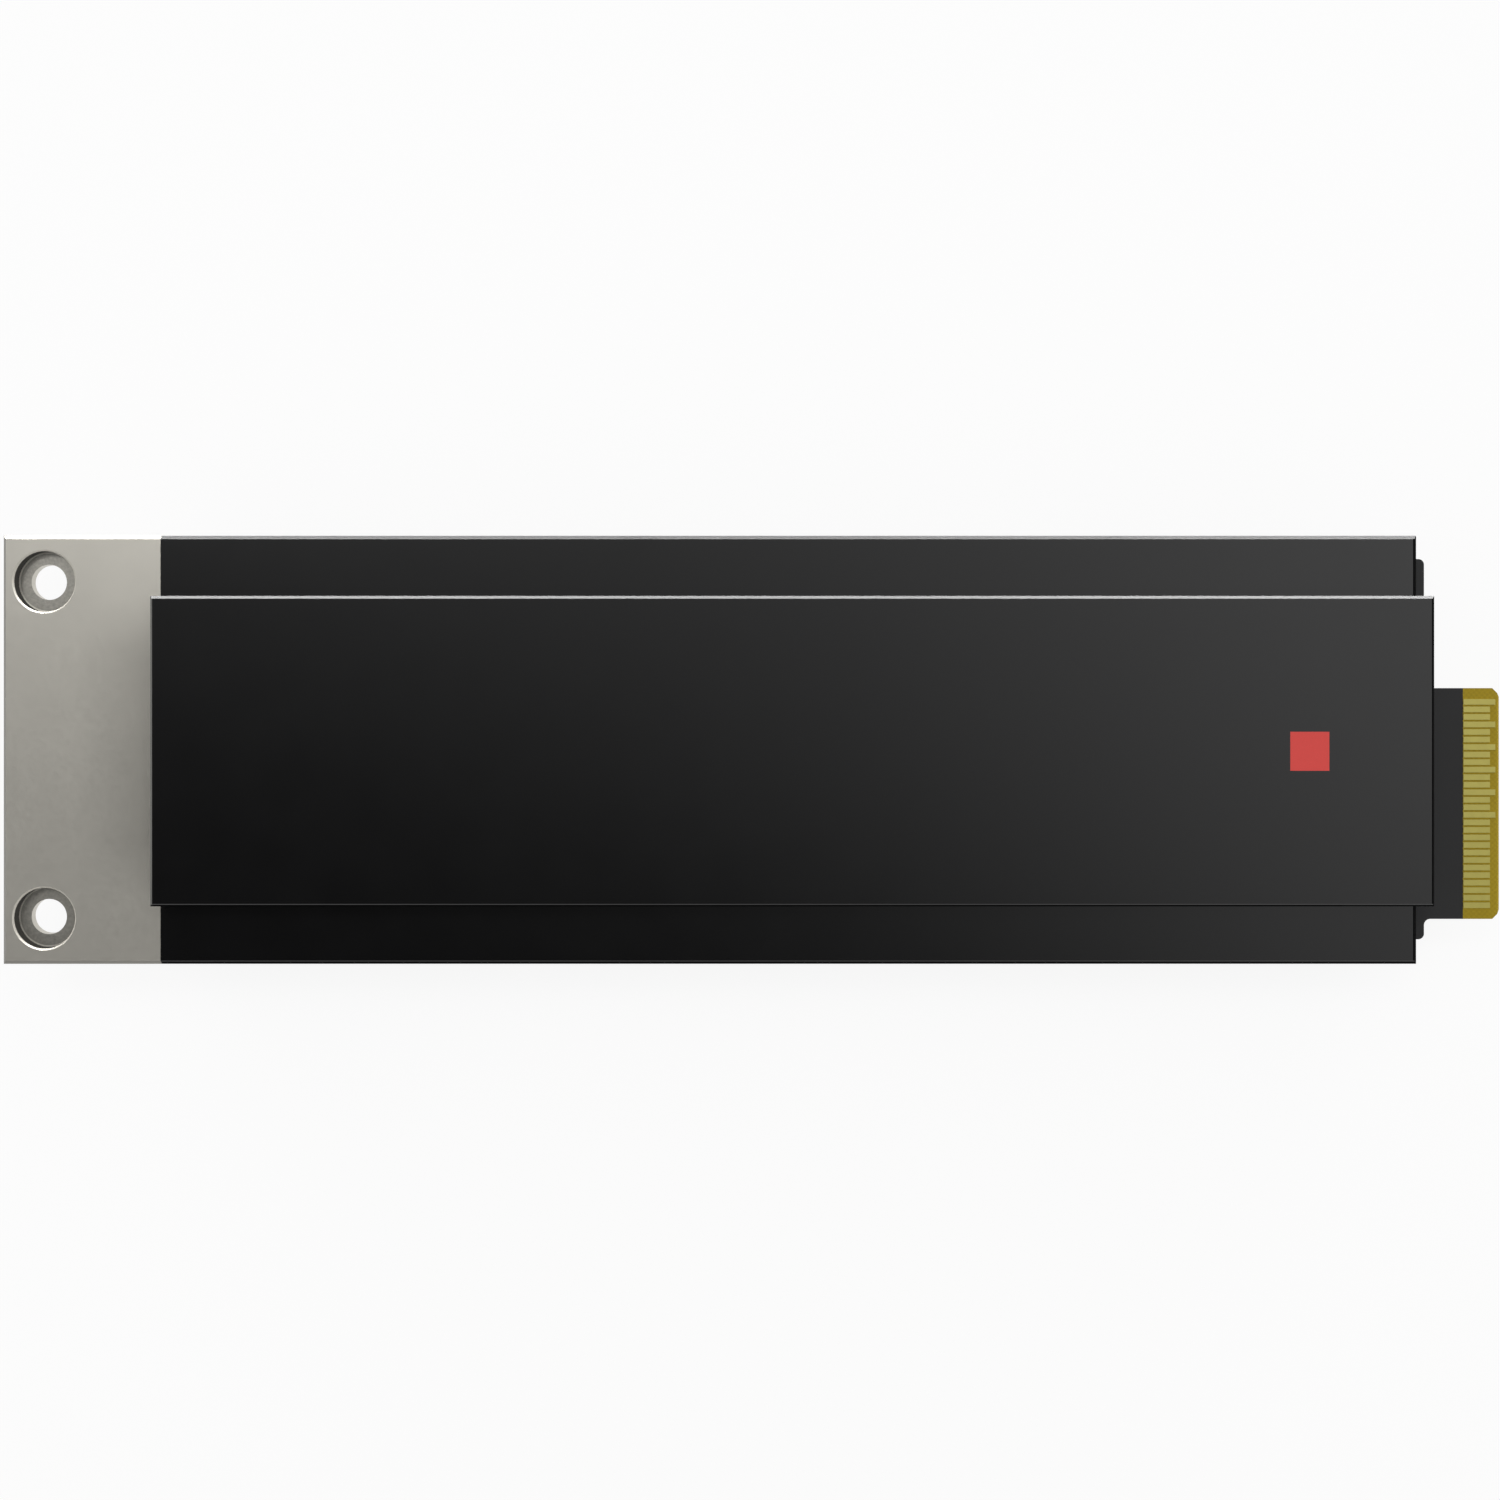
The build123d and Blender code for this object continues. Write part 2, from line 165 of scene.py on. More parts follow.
# Cast case: black satin paint, masked off at the end that takes the latch
castingLook = {
    "levelFrom": 0.9,
    "uprightTo": 0.4,
    "turnedFrom": 0.3,
    "margin": 0.02,
    "peel": (3.2, 3.0),
    "fine": (14.0, 2.0),
    "cloud": (0.22, 3.0),
    "gloss": 0.42,
    "bump": (0.35, 0.012),
    "paint": {
        "colour": (0.0022, 0.0022, 0.0024, 1),
        "shares": (0.9, 1.1),
        "roughness": 0.24,
        "roughnessSpread": 0.05,
        "fineHeight": 0.3,
        "height": 0.05,
        "wander": (2.0, 2.0),
        "wanderWidth": 0.04,
        # Painted reflection on the sloped edge over the bare end
        "paintedReflectionColour": (0.11, 0.11, 0.107, 1),
        "paintedReflectionReach": 0.5,
        # Painted shade on the edges at the front and the connector end, and on a band at that end
        "shadedEdgeColour": (0.01, 0.01, 0.01, 1),
        "shadedEdgeTint": (0.3, 0.3, 0.3, 1),
        "shadedEdgeRoughness": 0.95,
        "flangeTop": 7.0,
        "blockCrest": 0.075,
        "flangeCrest": 0.06,
        "blockBand": 0.3,
        "flangeBand": 0.4,
    },
    "metal": {
        "colour": (0.64, 0.616, 0.553, 1),
        "shares": (0.94, 1.06),
        "roughness": 0.37,
        "roughnessSpread": 0.1,
        "metallic": 0.8,
        "fineHeight": 0.8,
        "ringHeight": 0.25,
        # Painted shade on the outer edges and the sides
        "edgeShade": 0.34,
        "sideShade": 0.5,
        "sideRoughness": 0.6,
        # Painted shadow beside the raised block
        "blockShadowShade": 0.72,
        "blockShadowReach": 6.8,
        "blockShadowSides": (12.5, 6.5),
    },
    "hole": {
        "endInset": 3.3,
        "sideInset": 3.625,
        "foot": 5.7,
        "radius": 2.4,
        # Painted highlights on the rims and the floor's ring, painted shade on the floors and the walls
        "rimWidth": 0.14,
        "rimShade": 1.1,
        "rimRoughness": 0.58,
        "floorShade": 0.72,
        "floorGrain": (4.5, 3.0, 0.7),
        "floorSpread": 0.9,
        "ringShade": 1.55,
        "ringWidth": 0.13,
        "ringTurns": 42.0,
        "wallFrom": 1.5,
        "wallShade": 0.1,
        "wallRoughness": 0.95,
    },
}


# Masks for the way a face is turned, from its normal's parts: level, upright, or sloped between the two
def sortFaces(tree, turned):
    up = absolute(tree, turned[2])
    level = above(tree, up, castingLook["levelFrom"])
    upright = below(tree, up, castingLook["uprightTo"])
    return level, upright, subtract(tree, outside(tree, level), upright)


# The counterbores' masks, and the rings that the cutter left in them. An upright face nearer to the
# axis than wallFrom belongs to the hole through the middle, which stays bright
def markHoles(tree, x, y, z, middle, faces):
    look = castingLook["hole"]
    level, upright, sloped = faces
    margin = castingLook["margin"]
    alongX = subtract(tree, x, middle[0])
    alongY = subtract(tree, absolute(tree, y), middle[1])
    radius = radiusAbout(tree, alongX, alongY)
    around = below(tree, radius, look["radius"] + look["rimWidth"] + margin)
    within = multiply(tree, below(tree, radius, look["radius"] + margin), above(tree, z, look["foot"]))
    wall = multiply(tree, multiply(tree, upright, within), above(tree, radius, look["wallFrom"]))
    return {
        "around": around,
        "rim": multiply(tree, sloped, around),
        "floor": multiply(tree, level, within),
        "wall": wall,
        "ring": above(tree, radius, look["radius"] - look["ringWidth"]),
        "turns": multiply(tree, calc(tree, "SINE", multiply(tree, radius, look["ringTurns"])), within),
    }


# Painted shadow of the raised block: the metal beside it is painted darker, fading out away from it
def paintBlockShadow(tree, x, y, level, paintEdge):
    metal = castingLook["metal"]
    fromBlock = subtract(tree, paintEdge, x)
    blockShadow = ramp(tree, fromBlock, metal["blockShadowReach"], 0.0, line="LINEAR")
    beside = ramp(tree, absolute(tree, y), *metal["blockShadowSides"])
    return multiply(tree, multiply(tree, blockShadow, beside), level)


# Painted shade and highlights on the metal: the outer edges and the sides are painted darker than the face.
# In the counterbores the floor is painted darker and carries the cutter's grain, the walls are painted much
# darker, and the rims and a ring round each floor are painted brighter
def shadeMetal(tree, place, cloud, blockShadow, holes, outerEdge, outerSide):
    look = castingLook["hole"]
    metal = castingLook["metal"]
    speckle = multiply(tree, grain(tree, place, *look["floorGrain"]), look["floorSpread"])
    boreFloor = multiply(tree, look["floorShade"], add(tree, 1.0, speckle))
    boreFloor = blendNumbers(tree, holes["ring"], boreFloor, look["ringShade"])
    paintedShading = blendNumbers(tree, outerSide, 1.0, metal["sideShade"])
    paintedShading = blendNumbers(tree, outerEdge, paintedShading, metal["edgeShade"])
    paintedShading = blendNumbers(tree, holes["rim"], paintedShading, look["rimShade"])
    paintedShading = blendNumbers(tree, holes["floor"], paintedShading, boreFloor)
    paintedShading = blendNumbers(tree, holes["wall"], paintedShading, look["wallShade"])
    paintedShading = multiply(tree, paintedShading, blendNumbers(tree, blockShadow, 1.0, metal["blockShadowShade"]))
    return scaleVector(tree, mottle(tree, metal["colour"], cloud, *metal["shares"]), paintedShading)


# Painted shade: the paint is made matt and nearly black, with a dim tinted reflection, on the sloped edges
# at the front and the connector end, but for a glossy crest along the front ones, and on a narrow band of
# the level faces at the connector end
def markShadedEdges(tree, x, z, turned, level, sloped, high):
    look = castingLook["paint"]
    onBlock = above(tree, z, high[2] / mm - look["blockCrest"])
    belowBlock = below(tree, z, look["flangeTop"] + castingLook["margin"])
    onFlange = multiply(tree, above(tree, z, look["flangeTop"] - look["flangeCrest"]), belowBlock)
    atFront = below(tree, turned[1], -castingLook["turnedFrom"])
    crest = multiply(tree, calc(tree, "MAXIMUM", onBlock, onFlange), atFront)
    shadedEdges = above(tree, subtract(tree, turned[0], turned[1]), castingLook["turnedFrom"])
    shadedEdges = multiply(tree, multiply(tree, shadedEdges, sloped), outside(tree, crest))
    bandWidth = blendNumbers(tree, belowBlock, look["blockBand"], look["flangeBand"])
    fromEnd = subtract(tree, high[0] / mm, x)
    band = multiply(tree, below(tree, fromEnd, bandWidth), level)
    return calc(tree, "MAXIMUM", shadedEdges, band)


def makeCasting():
    look = castingLook
    paint, metal, hole = look["paint"], look["metal"], look["hole"]
    low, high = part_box("upper_case")
    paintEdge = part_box("lower_case")[0][0] / mm
    material, tree, shader = newMaterial("satinBlackCasting")
    place = placeInMillimetres(tree)
    x, y, z = splitVector(tree, place)
    turned = splitVector(tree, addNode(tree, "ShaderNodeNewGeometry").outputs["True Normal"])
    level, upright, sloped = sortFaces(tree, turned)
    peel, fine, cloud = (grain(tree, place, *look[name]) for name in ("peel", "fine", "cloud"))

    middle = (low[0] / mm + hole["endInset"], high[1] / mm - hole["sideInset"])
    holes = markHoles(tree, x, y, z, middle, (level, upright, sloped))
    outerEdge = multiply(tree, sloped, outside(tree, holes["around"]))
    outerSide = multiply(tree, upright, outside(tree, holes["around"]))
    blockShadow = paintBlockShadow(tree, x, y, level, paintEdge)
    metalShade = shadeMetal(tree, place, cloud, blockShadow, holes, outerEdge, outerSide)
    metalRoughness = addShare(tree, metal["roughness"], peel, metal["roughnessSpread"])
    metalRoughness = blendNumbers(tree, holes["rim"], metalRoughness, hole["rimRoughness"])
    metalRoughness = blendNumbers(tree, outerSide, metalRoughness, metal["sideRoughness"])
    metalRoughness = blendNumbers(tree, holes["wall"], metalRoughness, hole["wallRoughness"])
    metalHeight = multiply(tree, fine, metal["fineHeight"])
    metalHeight = addShare(tree, metalHeight, holes["turns"], metal["ringHeight"])
    # Part of the walls' painted shade: they are not metallic
    metallic = multiply(tree, metal["metallic"], outside(tree, holes["wall"]))

    # The paint starts on the bare end, just before the block's wall, along a slightly uneven line
    width = paint["wanderWidth"]
    uneven = addShare(tree, x, grain(tree, place, *paint["wander"]), width)
    painted = above(tree, uneven, paintEdge - width)

    # Painted reflection: the sloped edge over the bare end is painted a light grey
    overEnd = below(tree, x, paintEdge + paint["paintedReflectionReach"])
    towardsEnd = below(tree, turned[0], -look["turnedFrom"])
    paintedEdgeReflection = multiply(tree, multiply(tree, towardsEnd, overEnd), sloped)
    # Painted shade on the edges at the front and the connector end
    shadedEdges = markShadedEdges(tree, x, z, turned, level, sloped, high)
    paintShade = mottle(tree, paint["colour"], fine, *paint["shares"])
    paintShade = blendColours(tree, paintedEdgeReflection, paintShade, paint["paintedReflectionColour"])
    paintShade = blendColours(tree, shadedEdges, paintShade, paint["shadedEdgeColour"])
    paintRoughness = addShare(tree, paint["roughness"], cloud, paint["roughnessSpread"])
    paintRoughness = blendNumbers(tree, shadedEdges, paintRoughness, paint["shadedEdgeRoughness"])
    paintHeight = multiply(tree, addShare(tree, peel, fine, paint["fineHeight"]), paint["height"])
    glossTint = blendColours(tree, multiply(tree, shadedEdges, painted), (1, 1, 1, 1), paint["shadedEdgeTint"])

    setSurface(shader, Specular_IOR_Level=look["gloss"])
    feedSurface(
        tree,
        shader,
        Base_Color=blendColours(tree, painted, metalShade, paintShade),
        Specular_Tint=glossTint,
        Metallic=blendNumbers(tree, painted, metallic, shadedEdges),
        Roughness=blendNumbers(tree, painted, metalRoughness, paintRoughness),
        Normal=bump(tree, blendNumbers(tree, painted, metalHeight, paintHeight), *look["bump"]),
    )
    return material


dress(makeCasting(), "upper_case", "lower_case")
print("case dressed")


# Circuit board: dark solder mask, with bare laminate round the contacts and at the edges
boardLook = {
    "mask": (0.0275, 0.0275, 0.028, 1),
    "laminate": (0.346, 0.247, 0.0135, 1),
    "laminateShares": (0.86, 1.14),
    "edge": (0.11, 0.085, 0.035, 1),
    "edgeShares": (0.7, 1.25),
    "levelFrom": 0.9,
    "sideTo": 0.4,
    "margin": 0.02,
    "threadPitch": 0.42,
    "threadShare": 0.25,
    "threadHeight": 0.3,
    "layerPitch": 0.2,
    "layerShare": 0.3,
    "fine": (9.0, 3.0),
    "roughness": 0.42,
    "roughnessSpread": 0.15,
    "edgeRoughness": 0.9,
    "gloss": 0.12,
    "bump": (0.25, 0.01),
}


# A wave across the threads or layers of the laminate
def wave(tree, along, pitch):
    return calc(tree, "SINE", multiply(tree, along, 2 * math.pi / pitch))


def makeBoard():
    look = boardLook
    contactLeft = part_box("edge_contacts_top")[0][0] / mm
    material, tree, shader = newMaterial("circuitBoard")
    place = placeInMillimetres(tree)
    x, y, z = splitVector(tree, place)
    bare = above(tree, x, contactLeft - look["margin"])
    turned = splitVector(tree, addNode(tree, "ShaderNodeNewGeometry").outputs["Normal"])
    up = absolute(tree, turned[2])
    side = below(tree, up, look["sideTo"])
    bevel = below(tree, up, look["levelFrom"])

    # Glass threads cross at right angles under the resin, in layers that show at the sides
    threads = multiply(tree, wave(tree, x, look["threadPitch"]), wave(tree, y, look["threadPitch"]))
    layers = wave(tree, z, look["layerPitch"])
    fine = grain(tree, place, *look["fine"])
    laminateNoise = addShare(tree, fine, threads, look["threadShare"])
    laminate = mottle(tree, look["laminate"], laminateNoise, *look["laminateShares"])
    edge = mottle(tree, look["edge"], addShare(tree, fine, layers, look["layerShare"]), *look["edgeShares"])
    top = blendColours(tree, bare, look["mask"], laminate)
    roughness = addShare(tree, look["roughness"], fine, look["roughnessSpread"])
    feedSurface(
        tree,
        shader,
        Base_Color=blendColours(tree, side, top, edge),
        Roughness=blendNumbers(tree, bevel, roughness, look["edgeRoughness"]),
        Normal=bump(tree, addShare(tree, fine, threads, look["threadHeight"]), *look["bump"]),
    )
    setSurface(shader, Specular_IOR_Level=look["gloss"])
    return material


dress(makeBoard(), "main_board")
print("board dressed")


# Hard gold, streaked along the contacts by the plating and by use
goldLook = {
    "colour": (0.428, 0.38, 0.107, 1),
    "shares": (0.92, 1.08),
    "cloud": (1.3, 2.0),
    "stretch": (0.6, 6.0, 1.0),
    "streaks": (5.0, 3.0),
    "roughness": 0.45,
    "roughnessSpread": 0.16,
    "bump": (0.3, 0.006),
}


def makeGold():
    look = goldLook
    material, tree, shader = newMaterial("hardGold")
    place = placeInMillimetres(tree)
    inputs = {0: place, 1: look["stretch"]}
    stretched = addNode(tree, "ShaderNodeVectorMath", inputs, operation="MULTIPLY").outputs[0]
    streaks = grain(tree, stretched, *look["streaks"])
    cloud = grain(tree, place, *look["cloud"])
    feedSurface(
        tree,
        shader,
        Base_Color=mottle(tree, look["colour"], cloud, *look["shares"]),
        Roughness=addShare(tree, look["roughness"], streaks, look["roughnessSpread"]),
        Normal=bump(tree, streaks, *look["bump"]),
    )
    setSurface(shader, Metallic=1.0)
    return material


dress(makeGold(), "edge_contacts_top", "edge_contacts_bottom")
print("contacts dressed")


# A plain printed square
inkLook = {
    "colour": (0.68, 0.065, 0.056, 1),
    "shares": (0.93, 1.07),
    "fine": (11.0, 3.0),
    "roughness": 0.5,
    "gloss": 0.3,
    "bump": (0.3, 0.01),
}


def makeInk():
    look = inkLook
    material, tree, shader = newMaterial("redInk")
    fine = grain(tree, placeInMillimetres(tree), *look["fine"])
    colour = mottle(tree, look["colour"], fine, *look["shares"])
    feedSurface(tree, shader, Base_Color=colour, Normal=bump(tree, fine, *look["bump"]))
    setSurface(shader, Roughness=look["roughness"], Specular_IOR_Level=look["gloss"])
    return material


dress(makeInk(), "colour_mark")
print("colour mark dressed")


# Case screws: black zinc over steel, with the lathe's rings round each screw's own axis
screwLook = {
    "colour": (0.1, 0.1, 0.105, 1),
    "shares": (0.8, 1.2),
    "headRadius": 1.9,
    "ringTurns": 60.0,
    "ringHeight": 0.3,
    "fine": (8.0, 3.0),
    "roughness": 0.38,
    "roughnessSpread": 0.2,
    "bump": (0.3, 0.006),
}


def makeScrewSteel():
    look = screwLook
    low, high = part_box("case_screws")
    midX = (low[0] + high[0]) / 2 / mm
    spanX = (high[0] - low[0]) / 2 / mm - look["headRadius"]
    spanY = (high[1] - low[1]) / 2 / mm - look["headRadius"]
    material, tree, shader = newMaterial("blackZinc")
    place = placeInMillimetres(tree)
    x, y = splitVector(tree, place)[:2]
    alongX = subtract(tree, absolute(tree, subtract(tree, x, midX)), spanX)
    alongY = subtract(tree, absolute(tree, y), spanY)
    rings = calc(tree, "SINE", multiply(tree, radiusAbout(tree, alongX, alongY), look["ringTurns"]))
    fine = grain(tree, place, *look["fine"])
    feedSurface(
        tree,
        shader,
        Base_Color=mottle(tree, look["colour"], fine, *look["shares"]),
        Roughness=addShare(tree, look["roughness"], fine, look["roughnessSpread"]),
        Normal=bump(tree, addShare(tree, fine, rings, look["ringHeight"]), *look["bump"]),
    )
    setSurface(shader, Metallic=1.0)
    return material


# Moulding compound of the chip packages: dark, with pale filler specks, and laminate at its foot
packageLook = {
    "compound": (0.017, 0.017, 0.018, 1),
    "specks": (0.05, 0.05, 0.052, 1),
    "speckFrom": 0.16,
    "speckShare": 0.7,
    "carrier": (0.012, 0.05, 0.03, 1),
    "carrierHeight": 0.26,
    "fine": (22.0, 2.0, 0.6),
    "roughness": 0.62,
    "roughnessSpread": 0.2,
    "bump": (0.4, 0.008),
}


def makeMouldCompound():
    look = packageLook
    boardLow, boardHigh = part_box("main_board")
    middle = (boardLow[2] + boardHigh[2]) / 2 / mm
    half = (boardHigh[2] - boardLow[2]) / 2 / mm
    material, tree, shader = newMaterial("mouldCompound")
    place = placeInMillimetres(tree)
    fromMiddle = absolute(tree, subtract(tree, splitVector(tree, place)[2], middle))
    carrier = below(tree, subtract(tree, fromMiddle, half), look["carrierHeight"])
    fine = grain(tree, place, *look["fine"])
    specks = multiply(tree, above(tree, fine, look["speckFrom"]), look["speckShare"])
    compound = blendColours(tree, specks, look["compound"], look["specks"])
    feedSurface(
        tree,
        shader,
        Base_Color=blendColours(tree, carrier, compound, look["carrier"]),
        Roughness=addShare(tree, look["roughness"], fine, look["roughnessSpread"]),
        Normal=bump(tree, fine, *look["bump"]),
    )
    return material


# Soft grey-blue pads, mottled by their filler
padLook = {
    "colour": (0.25, 0.31, 0.38, 1),
    "shares": (0.75, 1.25),
    "fine": (6.0, 4.0, 0.7),
    "roughness": 0.78,
    "gloss": 0.3,
    "bump": (0.5, 0.03),
}


def makePadSilicone():
    look = padLook
    material, tree, shader = newMaterial("padSilicone")
    fine = grain(tree, placeInMillimetres(tree), *look["fine"])
    colour = mottle(tree, look["colour"], fine, *look["shares"])
    feedSurface(tree, shader, Base_Color=colour, Normal=bump(tree, fine, *look["bump"]))
    setSurface(shader, Roughness=look["roughness"], Specular_IOR_Level=look["gloss"])
    return material


# Hold-up capacitors: a black epoxy body with a pale bar at its plus end, and tinned ends
holdupLook = {
    "body": (0.03, 0.028, 0.024, 1),
    "bar": (0.45, 0.4, 0.3, 1),
    "barWidth": 0.7,
    "ends": (0.55, 0.54, 0.5, 1),
    "endLength": 1.3,
    "fine": (9.0, 3.0),
    "roughness": 0.48,
    "roughnessSpread": 0.2,
    "bump": (0.4, 0.012),
}


def makeHoldupEpoxy(name):
    look = holdupLook
    low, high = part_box(name)
    material, tree, shader = newMaterial("holdupEpoxy" + name[-1])
    place = placeInMillimetres(tree)
    x = splitVector(tree, place)[0]
    fromEnd = subtract(tree, high[0] / mm, x)
    fromStart = subtract(tree, x, low[0] / mm)
    ends = below(tree, calc(tree, "MINIMUM", fromEnd, fromStart), look["endLength"])
    bar = below(tree, fromStart, look["endLength"] + look["barWidth"])
    body = blendColours(tree, bar, look["body"], look["bar"])
    fine = grain(tree, place, *look["fine"])
    feedSurface(
        tree,
        shader,
        Base_Color=blendColours(tree, ends, body, look["ends"]),
        Metallic=ends,
        Roughness=addShare(tree, look["roughness"], fine, look["roughnessSpread"]),
        Normal=bump(tree, fine, *look["bump"]),
    )
    return material


# Inductors: pressed iron powder, coarse and dull
coreLook = {
    "colour": (0.055, 0.054, 0.056, 1),
    "shares": (0.6, 1.5),
    "coarse": (5.0, 4.0, 0.75),
    "roughness": 0.7,
    "metallic": 0.2,
    "bump": (0.5, 0.03),
}


def makeInductorCore():
    look = coreLook
    material, tree, shader = newMaterial("inductorCore")
    coarse = grain(tree, placeInMillimetres(tree), *look["coarse"])
    colour = mottle(tree, look["colour"], coarse, *look["shares"])
    feedSurface(tree, shader, Base_Color=colour, Normal=bump(tree, coarse, *look["bump"]))
    setSurface(shader, Roughness=look["roughness"], Metallic=look["metallic"])
    return material


# Clock crystal: a dark ceramic base under a plated lid
crystalLook = {
    "base": (0.05, 0.045, 0.04, 1),
    "lid": (0.6, 0.58, 0.52, 1),
    "lidHeight": 0.35,
    "margin": 0.01,
    "fine": (10.0, 3.0),
    "shadeSpread": 0.2,
    "roughness": 0.4,
    "roughnessSpread": 0.2,
    "bump": (0.3, 0.006),
}


def makeCrystalLid():
    look = crystalLook
    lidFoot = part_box("clock_crystal")[1][2] / mm - look["lidHeight"]
    material, tree, shader = newMaterial("crystalLid")
    place = placeInMillimetres(tree)
    lid = above(tree, splitVector(tree, place)[2], lidFoot + look["margin"])
    fine = grain(tree, place, *look["fine"])
    colour = blendColours(tree, lid, look["base"], look["lid"])
    feedSurface(
        tree,
        shader,
        Base_Color=scaleVector(tree, colour, addShare(tree, 1.0, fine, look["shadeSpread"])),
        Metallic=lid,
        Roughness=addShare(tree, look["roughness"], fine, look["roughnessSpread"]),
        Normal=bump(tree, fine, *look["bump"]),
    )
    return material


# Small chips lie in rows of one pitch, so their tinned ends repeat along the rows
chipLook = {
    "tin": (0.6, 0.59, 0.56, 1),
    "ceramic": (0.33, 0.21, 0.12, 1),
    "glaze": (0.02, 0.02, 0.025, 1),
    "share": 0.24,
    "fine": (16.0, 3.0),
    "shadeSpread": 0.3,
    "roughness": 0.45,
    "bump": (0.4, 0.008),
    "groups": {
        "decoupling_capacitors": {"label": "ceramicBrown", "body": "ceramic", "length": 1.6, "pitch": 3.0},
        "coupling_capacitors": {"label": "ceramicTan", "body": "ceramic", "length": 1.0, "pitch": 3.0},
        "edge_resistors": {"label": "resistorGlaze", "body": "glaze", "length": 1.0, "pitch": 6.5},
    },
}


def makeChip(name, label, body, length, pitch):
    look = chipLook
    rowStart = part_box(name)[0][0] / mm
    material, tree, shader = newMaterial(label)
    place = placeInMillimetres(tree)
    along = subtract(tree, splitVector(tree, place)[0], rowStart)
    within = calc(tree, "MODULO", along, pitch)
    fromMiddle = absolute(tree, subtract(tree, within, length / 2))
    ends = above(tree, fromMiddle, length * (0.5 - look["share"]))
    fine = grain(tree, place, *look["fine"])
    colour = blendColours(tree, ends, look[body], look["tin"])
    feedSurface(
        tree,
        shader,
        Base_Color=scaleVector(tree, colour, addShare(tree, 1.0, fine, look["shadeSpread"])),
        Metallic=ends,
        Normal=bump(tree, fine, *look["bump"]),
    )
    setSurface(shader, Roughness=look["roughness"])
    return material


dress(makeScrewSteel(), "case_screws")
packages = [f"nand_flash_{number}" for number in range(1, 5)] + ["dram_1", "dram_2", "controller"]
dress(makeMouldCompound(), *packages, "input_switch", "power_regulator", "serial_flash")
pads = [f"nand_thermal_pad_{number}" for number in range(1, 5)]
dress(makePadSilicone(), *pads, "dram_thermal_pad_1", "dram_thermal_pad_2", "controller_thermal_pad")
for number in range(1, 9):
    dress(makeHoldupEpoxy(f"holdup_capacitor_{number}"), f"holdup_capacitor_{number}")
dress(makeInductorCore(), "inductor_1", "inductor_2", "inductor_3")
dress(makeCrystalLid(), "clock_crystal")
for name, group in chipLook["groups"].items():
    dress(makeChip(name, **group), name)
print("inner pieces dressed")


# White floor that the module lies on, in metres. Part of its white is its own, so that the shadow
# stays faint, and more of it further out, up to a seamless horizon. From below it's clear, to show
# the underside
floorLook = {
    "reach": 8.0,
    "gap": 0.02 * mm,
    "colour": (0.94, 0.94, 0.94, 1),
    "roughness": 0.9,
    "near": 0.88,
    "from": 0.15,
    "to": 0.9,
}


def makeFloor():
    look = floorLook
    mesh = bpy.data.meshes.new("floor")
    corners = np.array([(-1, -1, 0), (1, -1, 0), (1, 1, 0), (-1, 1, 0)], dtype=float) * look["reach"]
    corners[:, 2] = -look["gap"]
    mesh.from_pydata(corners.tolist(), [], [(0, 1, 2, 3)])
    floor = bpy.data.objects.new("floor", mesh)
    bpy.context.scene.collection.objects.link(floor)
    material, tree, shader = newMaterial("paleFloor")
    setSurface(shader, Base_Color=look["colour"], Roughness=look["roughness"], Specular_IOR_Level=0.0)
    ray = addNode(tree, "ShaderNodeLightPath").outputs
    seen = add(tree, ray["Is Camera Ray"], ray["Is Glossy Ray"])
    seen = calc(tree, "ADD", seen, ray["Is Transmission Ray"], clamp=True)
    place = addNode(tree, "ShaderNodeTexCoord").outputs["Object"]
    distance = addNode(tree, "ShaderNodeVectorMath", {0: place}, operation="LENGTH").outputs["Value"]
    share = multiply(tree, seen, ramp(tree, distance, look["from"], look["to"], low=look["near"]))
    glow = addNode(tree, "ShaderNodeEmission", {"Strength": 1.0})
    mixed = addNode(tree, "ShaderNodeMixShader", {0: share, 1: shader.outputs[0], 2: glow.outputs[0]})
    clear = addNode(tree, "ShaderNodeBsdfTransparent")
    under = addNode(tree, "ShaderNodeNewGeometry").outputs["Backfacing"]
    oneSided = addNode(tree, "ShaderNodeMixShader", {0: under, 1: mixed.outputs[0], 2: clear.outputs[0]})
    tree.links.new(oneSided.outputs[0], tree.nodes["Material Output"].inputs["Surface"])
    mesh.materials.append(material)


# Softboxes: where each stands, its width and height in metres, and how bright its face is
softboxes = {
    "backStrip": {"place": (0.0, 0.9, 0.042), "width": 1.3, "height": 0.08, "brightness": 60},
    "leftKey": {"place": (-0.34, 0.45, 0.92), "width": 0.3, "height": 0.15, "brightness": 7.5},
}


def addSoftbox(name, place, width, height, brightness):
    lamp = bpy.data.lights.new(name, "AREA")
    lamp.shape = "RECTANGLE"
    lamp.size = width
    lamp.size_y = height
    lamp.energy = brightness * math.pi * width * height
    holder = bpy.data.objects.new(name, lamp)
    bpy.context.scene.collection.objects.link(holder)
    holder.location = place
    holder.rotation_euler = holder.location.to_track_quat("Z", "Y").to_euler()


# Overhead light, dull walls and a white horizon. The overhead light grows evenly towards the back
# and the right, and on the right with the square as well. A soft shade lies across its front
ceilingLook = {
    "overhead": 0.448,
    "right": 0.9,
    "back": 2.4,
    "rightSquare": 2.05,
    "squareFrom": -0.057,
    "shadeEdge": -0.129,
    "shadeSlant": 0.235,
    "shadeSoft": 0.05,
    "shadeDepth": 0.1,
    "least": 0.03,
    "most": 1.9,
    "walls": 0.6,
    "overheadFrom": 0.65,
    "overheadTo": 0.85,
    "horizonFrom": 0.4,
    "horizonTo": 0.2,
}


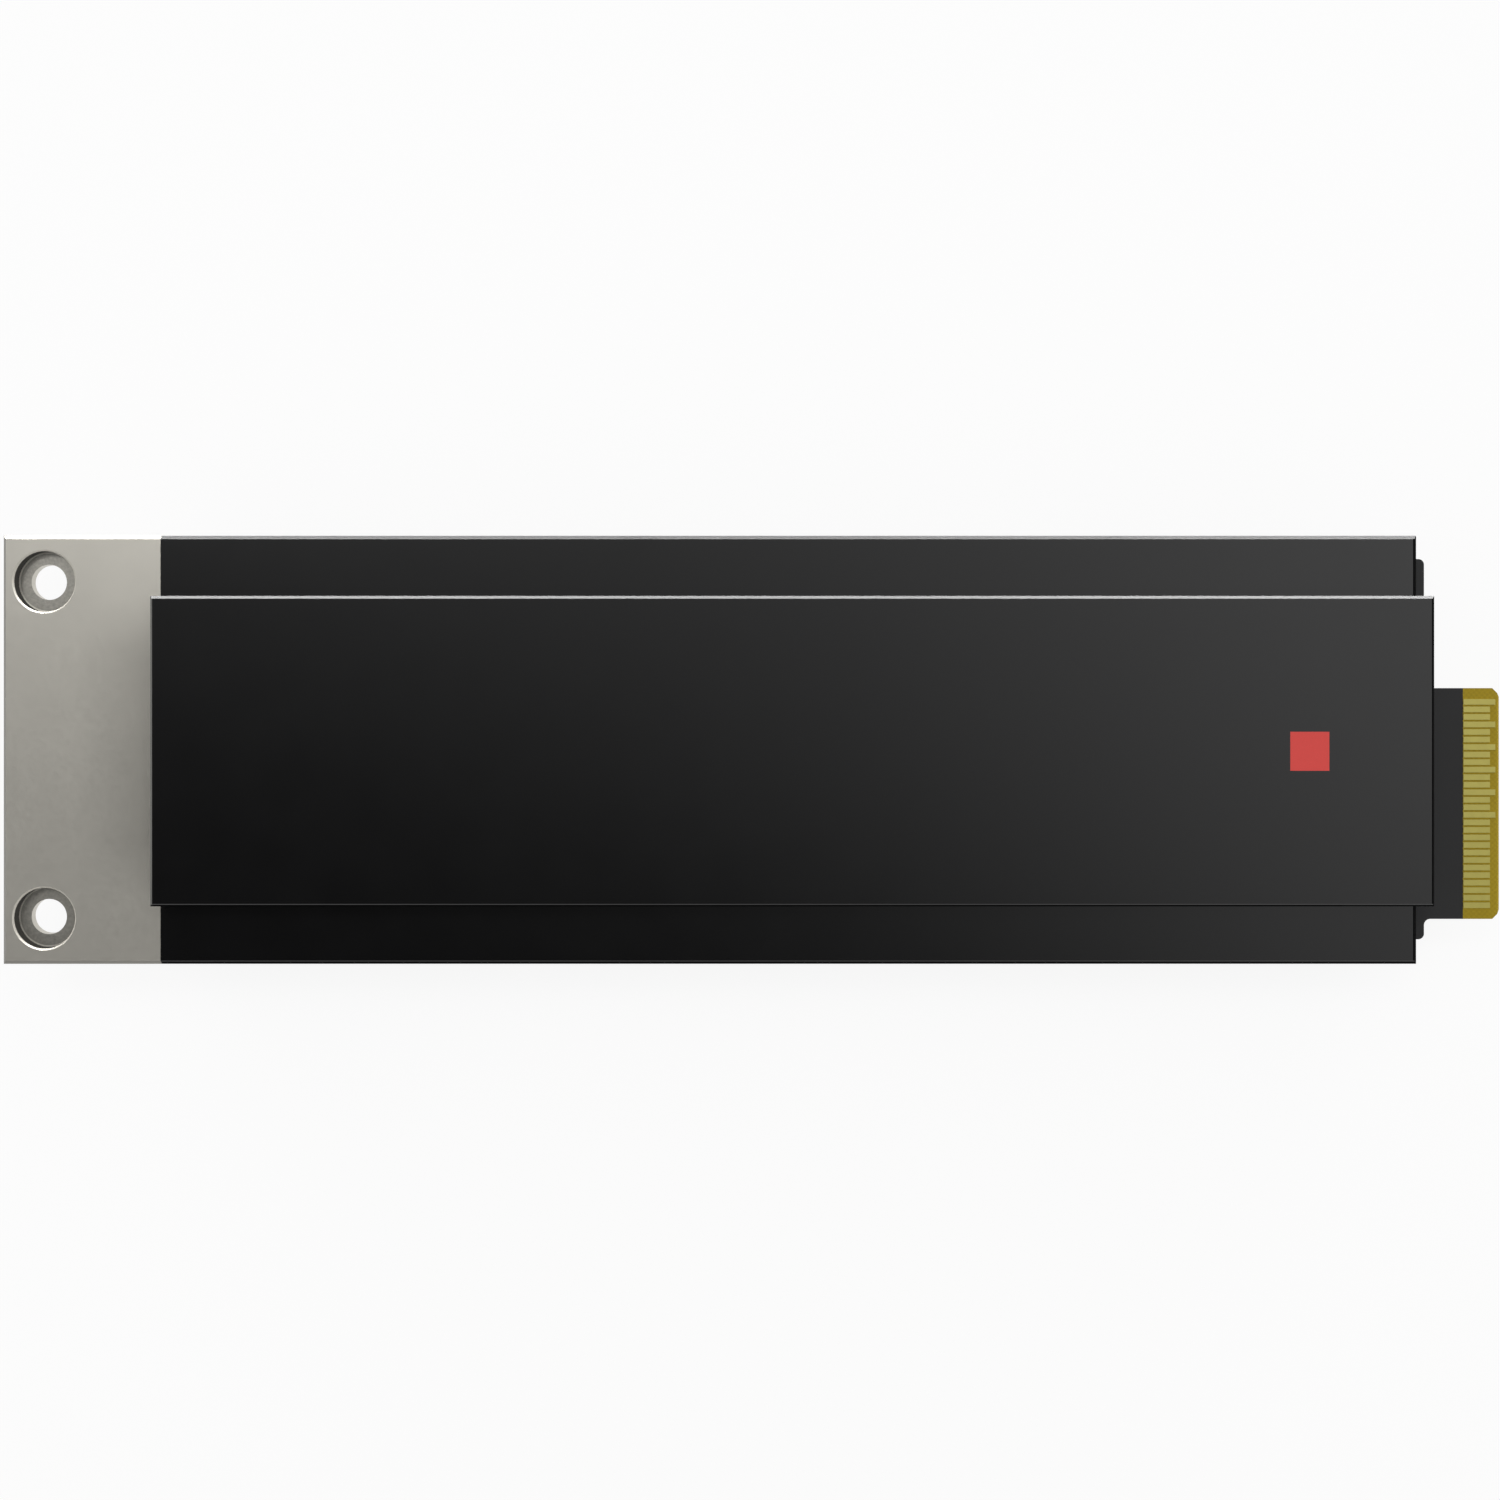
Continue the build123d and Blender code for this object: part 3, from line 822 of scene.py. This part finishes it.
def makeCeiling():
    look = ceilingLook
    world = bpy.data.worlds.new("studio")
    bpy.context.scene.world = world
    world.use_nodes = True
    tree = world.node_tree
    background = tree.nodes["Background"]
    towards = addNode(tree, "ShaderNodeTexCoord").outputs["Generated"]
    right, _, up = splitVector(tree, towards)
    even = alongDirection(tree, towards, (look["right"], look["back"], 0))
    beyond = calc(tree, "MAXIMUM", subtract(tree, right, look["squareFrom"]), 0.0)
    square = multiply(tree, calc(tree, "POWER", beyond, 2.0), look["rightSquare"])
    overhead = add(tree, add(tree, even, square), look["overhead"])
    front = alongDirection(tree, towards, (look["shadeSlant"], 1, 0))
    half = look["shadeSoft"] / 2
    edges = (look["shadeEdge"] + half, look["shadeEdge"] - half)
    overhead = subtract(tree, overhead, ramp(tree, front, *edges, high=look["shadeDepth"]))
    overhead = calc(tree, "MINIMUM", calc(tree, "MAXIMUM", overhead, look["least"]), look["most"])
    high = ramp(tree, up, look["overheadFrom"], look["overheadTo"])
    low = ramp(tree, up, look["horizonFrom"], look["horizonTo"])
    strength = blendNumbers(tree, low, blendNumbers(tree, high, look["walls"], overhead), 1.0)
    tree.links.new(strength, background.inputs["Strength"])
    background.inputs["Color"].default_value = (1, 1, 1, 1)


makeFloor()
for name, plan in softboxes.items():
    addSoftbox(name, **plan)
makeCeiling()
print("stage and lamps set")

# The camera looks straight down. Its place over the module is in metres, its lens in millimetres
cameraPlan = {
    "over": (-0.0072, 0.0045),
    "height": 0.116,
    "lens": 33.27,
    "sensor": 36,
    "shift": (0.0563, -0.0382),
    "nearest": 0.01,
}
cameraData = bpy.data.cameras.new("camera")
cameraData.lens = cameraPlan["lens"]
cameraData.sensor_width = cameraPlan["sensor"]
cameraData.shift_x, cameraData.shift_y = cameraPlan["shift"]
cameraData.clip_start = cameraPlan["nearest"]
camera = bpy.data.objects.new("camera", cameraData)
bpy.context.scene.collection.objects.link(camera)
camera.location = (*cameraPlan["over"], cameraPlan["height"])
bpy.context.scene.camera = camera

bpy.context.scene.view_settings.view_transform = "Standard"
